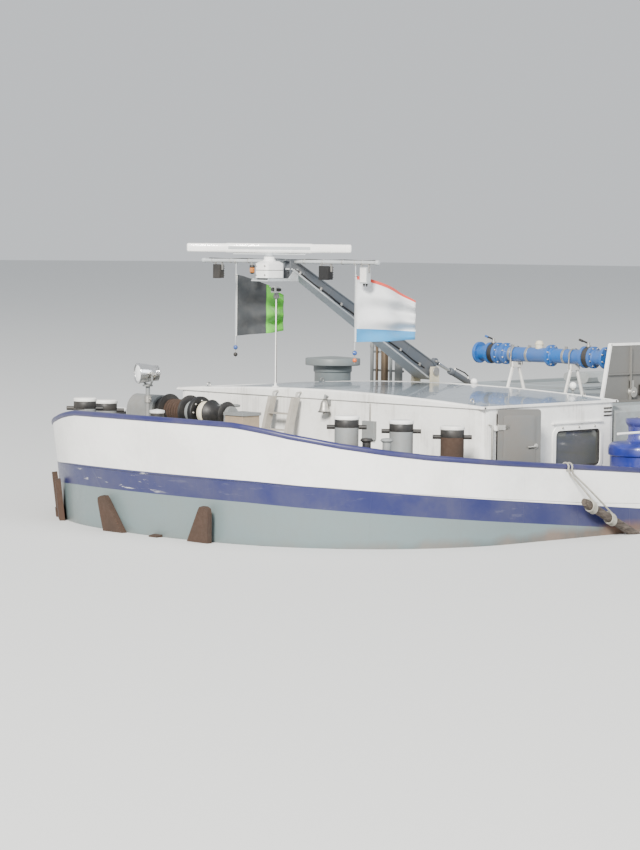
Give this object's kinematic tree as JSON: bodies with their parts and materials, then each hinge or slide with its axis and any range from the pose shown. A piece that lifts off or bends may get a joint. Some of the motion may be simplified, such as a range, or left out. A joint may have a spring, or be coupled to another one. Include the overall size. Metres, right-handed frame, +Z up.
{
  "type": "motor tank barge, 1:10 scale model",
  "caption": "Self-propelled river tank barge afloat: rounded bow with bollards, windlass and deckhouse, long tank trunk, folding radar mast, hose crane, after wheelhouse, screw and rudders.",
  "frame": {"origin": "amidships on the centreline, on the waterline", "axes": "+X forward, +Y to port, +Z up"},
  "size_m": [8.5365, 0.9656, 0.949],
  "materials": {
    "hull_paint": "semi-gloss paint with blue, grey and black bands, scuffed",
    "rail_paint": "semi-gloss violet blue",
    "white_paint": "semi-gloss white with dirt",
    "grey_paint": "satin grey",
    "roof_paint": "gloss grey blue",
    "black_paint": "satin black",
    "rusty_iron": "rough rust",
    "bare_steel": "weathered steel",
    "bronze": "polished casting",
    "pipe_paint": "gloss blue",
    "window_glass": "tinted",
    "timber": "weathered round timber",
    "flag_cloth": "thin bunting"
  },
  "bodies": {
    "ship": {"hull": "hull_paint", "bulwark": "hull_paint", "bow_rail": "rail_paint", "stern_bulwark": "hull_paint", "bow_anchor": "rusty_iron", "starboard_anchor": "rusty_iron", "bollards_port": "grey_paint", "bollards_starboard": "grey_paint", "windlass": "grey_paint", "searchlight_post": "grey_paint", "forward_house": "white_paint", "forward_roof": "roof_paint", "ladder": "white_paint", "trunk": "grey_paint", "vent_drum": "grey_paint", "standpipes": "bare_steel", "mast_cheeks": "white_paint", "camera_pole": "white_paint", "manifold_pipe": "pipe_paint", "manifold_stand": "white_paint", "screen_plate": "grey_paint", "capstan_port": "pipe_paint", "capstan_starboard": "pipe_paint", "timber_fender": "timber", "cargo_pipes": "grey_paint", "railing_port": "white_paint", "railing_starboard": "white_paint", "crane_pedestal": "white_paint", "aft_house": "white_paint", "wheelhouse": "white_paint", "wheelhouse_roof": "roof_paint", "wheelhouse_glass": "window_glass", "exhausts": "black_paint", "dinghy": "grey_paint", "stern_bitts_port": "grey_paint", "stern_bitts_starboard": "grey_paint"},
    "radar_mast": {"mast": "grey_paint", "radar_unit": "white_paint", "flag_starboard": "flag_cloth", "flag_port": "flag_cloth"},
    "scanner": {"radar_scanner": "white_paint"},
    "ram_barrel": {"mast_ram_barrel": "grey_paint"},
    "ram_rod": {"mast_ram_rod": "bare_steel"},
    "bow_light": {"searchlight": "bare_steel"},
    "drum": {"windlass_drum": "rusty_iron"},
    "house_door": {"forward_door": "grey_paint"},
    "lid_1": {"hatch_lid_1": "grey_paint"},
    "lid_2": {"hatch_lid_2": "grey_paint"},
    "lid_3": {"hatch_lid_3": "grey_paint"},
    "lid_4": {"hatch_lid_4": "grey_paint"},
    "hose_column": {"crane_column": "white_paint"},
    "hose_jib": {"crane_jib": "white_paint"},
    "port_door": {"aft_door_port": "grey_paint"},
    "starboard_door": {"aft_door_starboard": "grey_paint"},
    "wheel_door": {"wheelhouse_door": "grey_paint"},
    "after_mast": {"aft_mast": "white_paint"},
    "boat_davit": {"davit": "white_paint"},
    "screw": {"propeller": "bronze"},
    "port_rudder": {"rudder_port": "black_paint"},
    "starboard_rudder": {"rudder_starboard": "black_paint"}
  },
  "joints": [
    {"name": "mast_fold", "type": "hinge", "parent": "ship", "child": "radar_mast", "pos_m": [3.505, -0.1, 0.231], "axis": [0, -1, 0], "range_deg": [0, 50]},
    {"name": "ram_swing", "type": "hinge", "parent": "ship", "child": "ram_barrel", "pos_m": [3.378, -0.1, 0.203], "axis": [0, -1, 0], "range_deg": [-12.5, 0.5]},
    {"name": "ram_stroke", "type": "slide", "parent": "ram_barrel", "child": "ram_rod", "axis": [0.918, 0, 0.3966], "range_m": [-0.0145, 0.001]},
    {"name": "scanner_turn", "type": "hinge", "parent": "radar_mast", "child": "scanner", "pos_m": [3.8865, -0.11, 0.436], "axis": [0, 0, 1], "continuous": true},
    {"name": "light_turn", "type": "hinge", "parent": "ship", "child": "bow_light", "pos_m": [4.074, -0.201, 0.238], "axis": [0, 0, 1], "range_deg": [-90, 90]},
    {"name": "drum_turn", "type": "hinge", "parent": "ship", "child": "drum", "pos_m": [4.004, -0.155, 0.174], "axis": [0, 1, 0], "continuous": true},
    {"name": "house_door_swing", "type": "hinge", "parent": "ship", "child": "house_door", "pos_m": [3.838, 0.3506, 0.136], "axis": [0, 0, -1], "range_deg": [-25, 85]},
    {"name": "lid_1_lift", "type": "hinge", "parent": "ship", "child": "lid_1", "pos_m": [2.55, 0.102, 0.2228], "axis": [1, 0, 0], "range_deg": [0, 110]},
    {"name": "lid_2_lift", "type": "hinge", "parent": "ship", "child": "lid_2", "pos_m": [1.15, -0.198, 0.2228], "axis": [1, 0, 0], "range_deg": [0, 110]},
    {"name": "lid_3_lift", "type": "hinge", "parent": "ship", "child": "lid_3", "pos_m": [-0.5, 0.102, 0.2228], "axis": [1, 0, 0], "range_deg": [0, 110]},
    {"name": "lid_4_lift", "type": "hinge", "parent": "ship", "child": "lid_4", "pos_m": [-1.9, -0.198, 0.2228], "axis": [1, 0, 0], "range_deg": [0, 110]},
    {"name": "crane_slew", "type": "hinge", "parent": "ship", "child": "hose_column", "pos_m": [0.62, 0.12, 0.262], "axis": [0, 0, 1], "range_deg": [-170, 170]},
    {"name": "jib_lift", "type": "hinge", "parent": "hose_column", "child": "hose_jib", "pos_m": [0.62, 0.12, 0.33], "axis": [0, -1, 0], "range_deg": [0, 70]},
    {"name": "port_door_swing", "type": "hinge", "parent": "ship", "child": "port_door", "pos_m": [-2.666, 0.3483, 0.15], "axis": [0, 0, -1], "range_deg": [0, 100]},
    {"name": "starboard_door_swing", "type": "hinge", "parent": "ship", "child": "starboard_door", "pos_m": [-2.666, -0.3483, 0.15], "axis": [0, 0, 1], "range_deg": [0, 100]},
    {"name": "wheel_door_swing", "type": "hinge", "parent": "ship", "child": "wheel_door", "pos_m": [-3.0133, 0.124, 0.384], "axis": [0, 0, -1], "range_deg": [0, 100]},
    {"name": "after_mast_fold", "type": "hinge", "parent": "ship", "child": "after_mast", "pos_m": [-2.9, 0, 0.531], "axis": [0, -1, 0], "range_deg": [0, 88]},
    {"name": "davit_slew", "type": "hinge", "parent": "ship", "child": "boat_davit", "pos_m": [-3.56, 0.3, 0.3], "axis": [0, 0, 1], "range_deg": [0, 180]},
    {"name": "screw_turn", "type": "hinge", "parent": "ship", "child": "screw", "pos_m": [-3.842, 0, -0.172], "axis": [1, 0, 0], "continuous": true},
    {"name": "port_rudder_turn", "type": "hinge", "parent": "ship", "child": "port_rudder", "pos_m": [-4.012, 0.062, -0.16], "axis": [0, 0, 1], "range_deg": [-40, 40]},
    {"name": "starboard_rudder_turn", "type": "hinge", "parent": "ship", "child": "starboard_rudder", "pos_m": [-4.012, -0.062, -0.16], "axis": [0, 0, 1], "range_deg": [-40, 40]}
  ],
  "couplings": [
    {"joint": "ram_swing", "follows": "mast_fold", "ratio": -0.246},
    {"joint": "ram_stroke", "follows": "mast_fold", "m_per_rad": -0.016},
    {"joint": "starboard_rudder_turn", "follows": "port_rudder_turn", "ratio": 1}
  ]
}
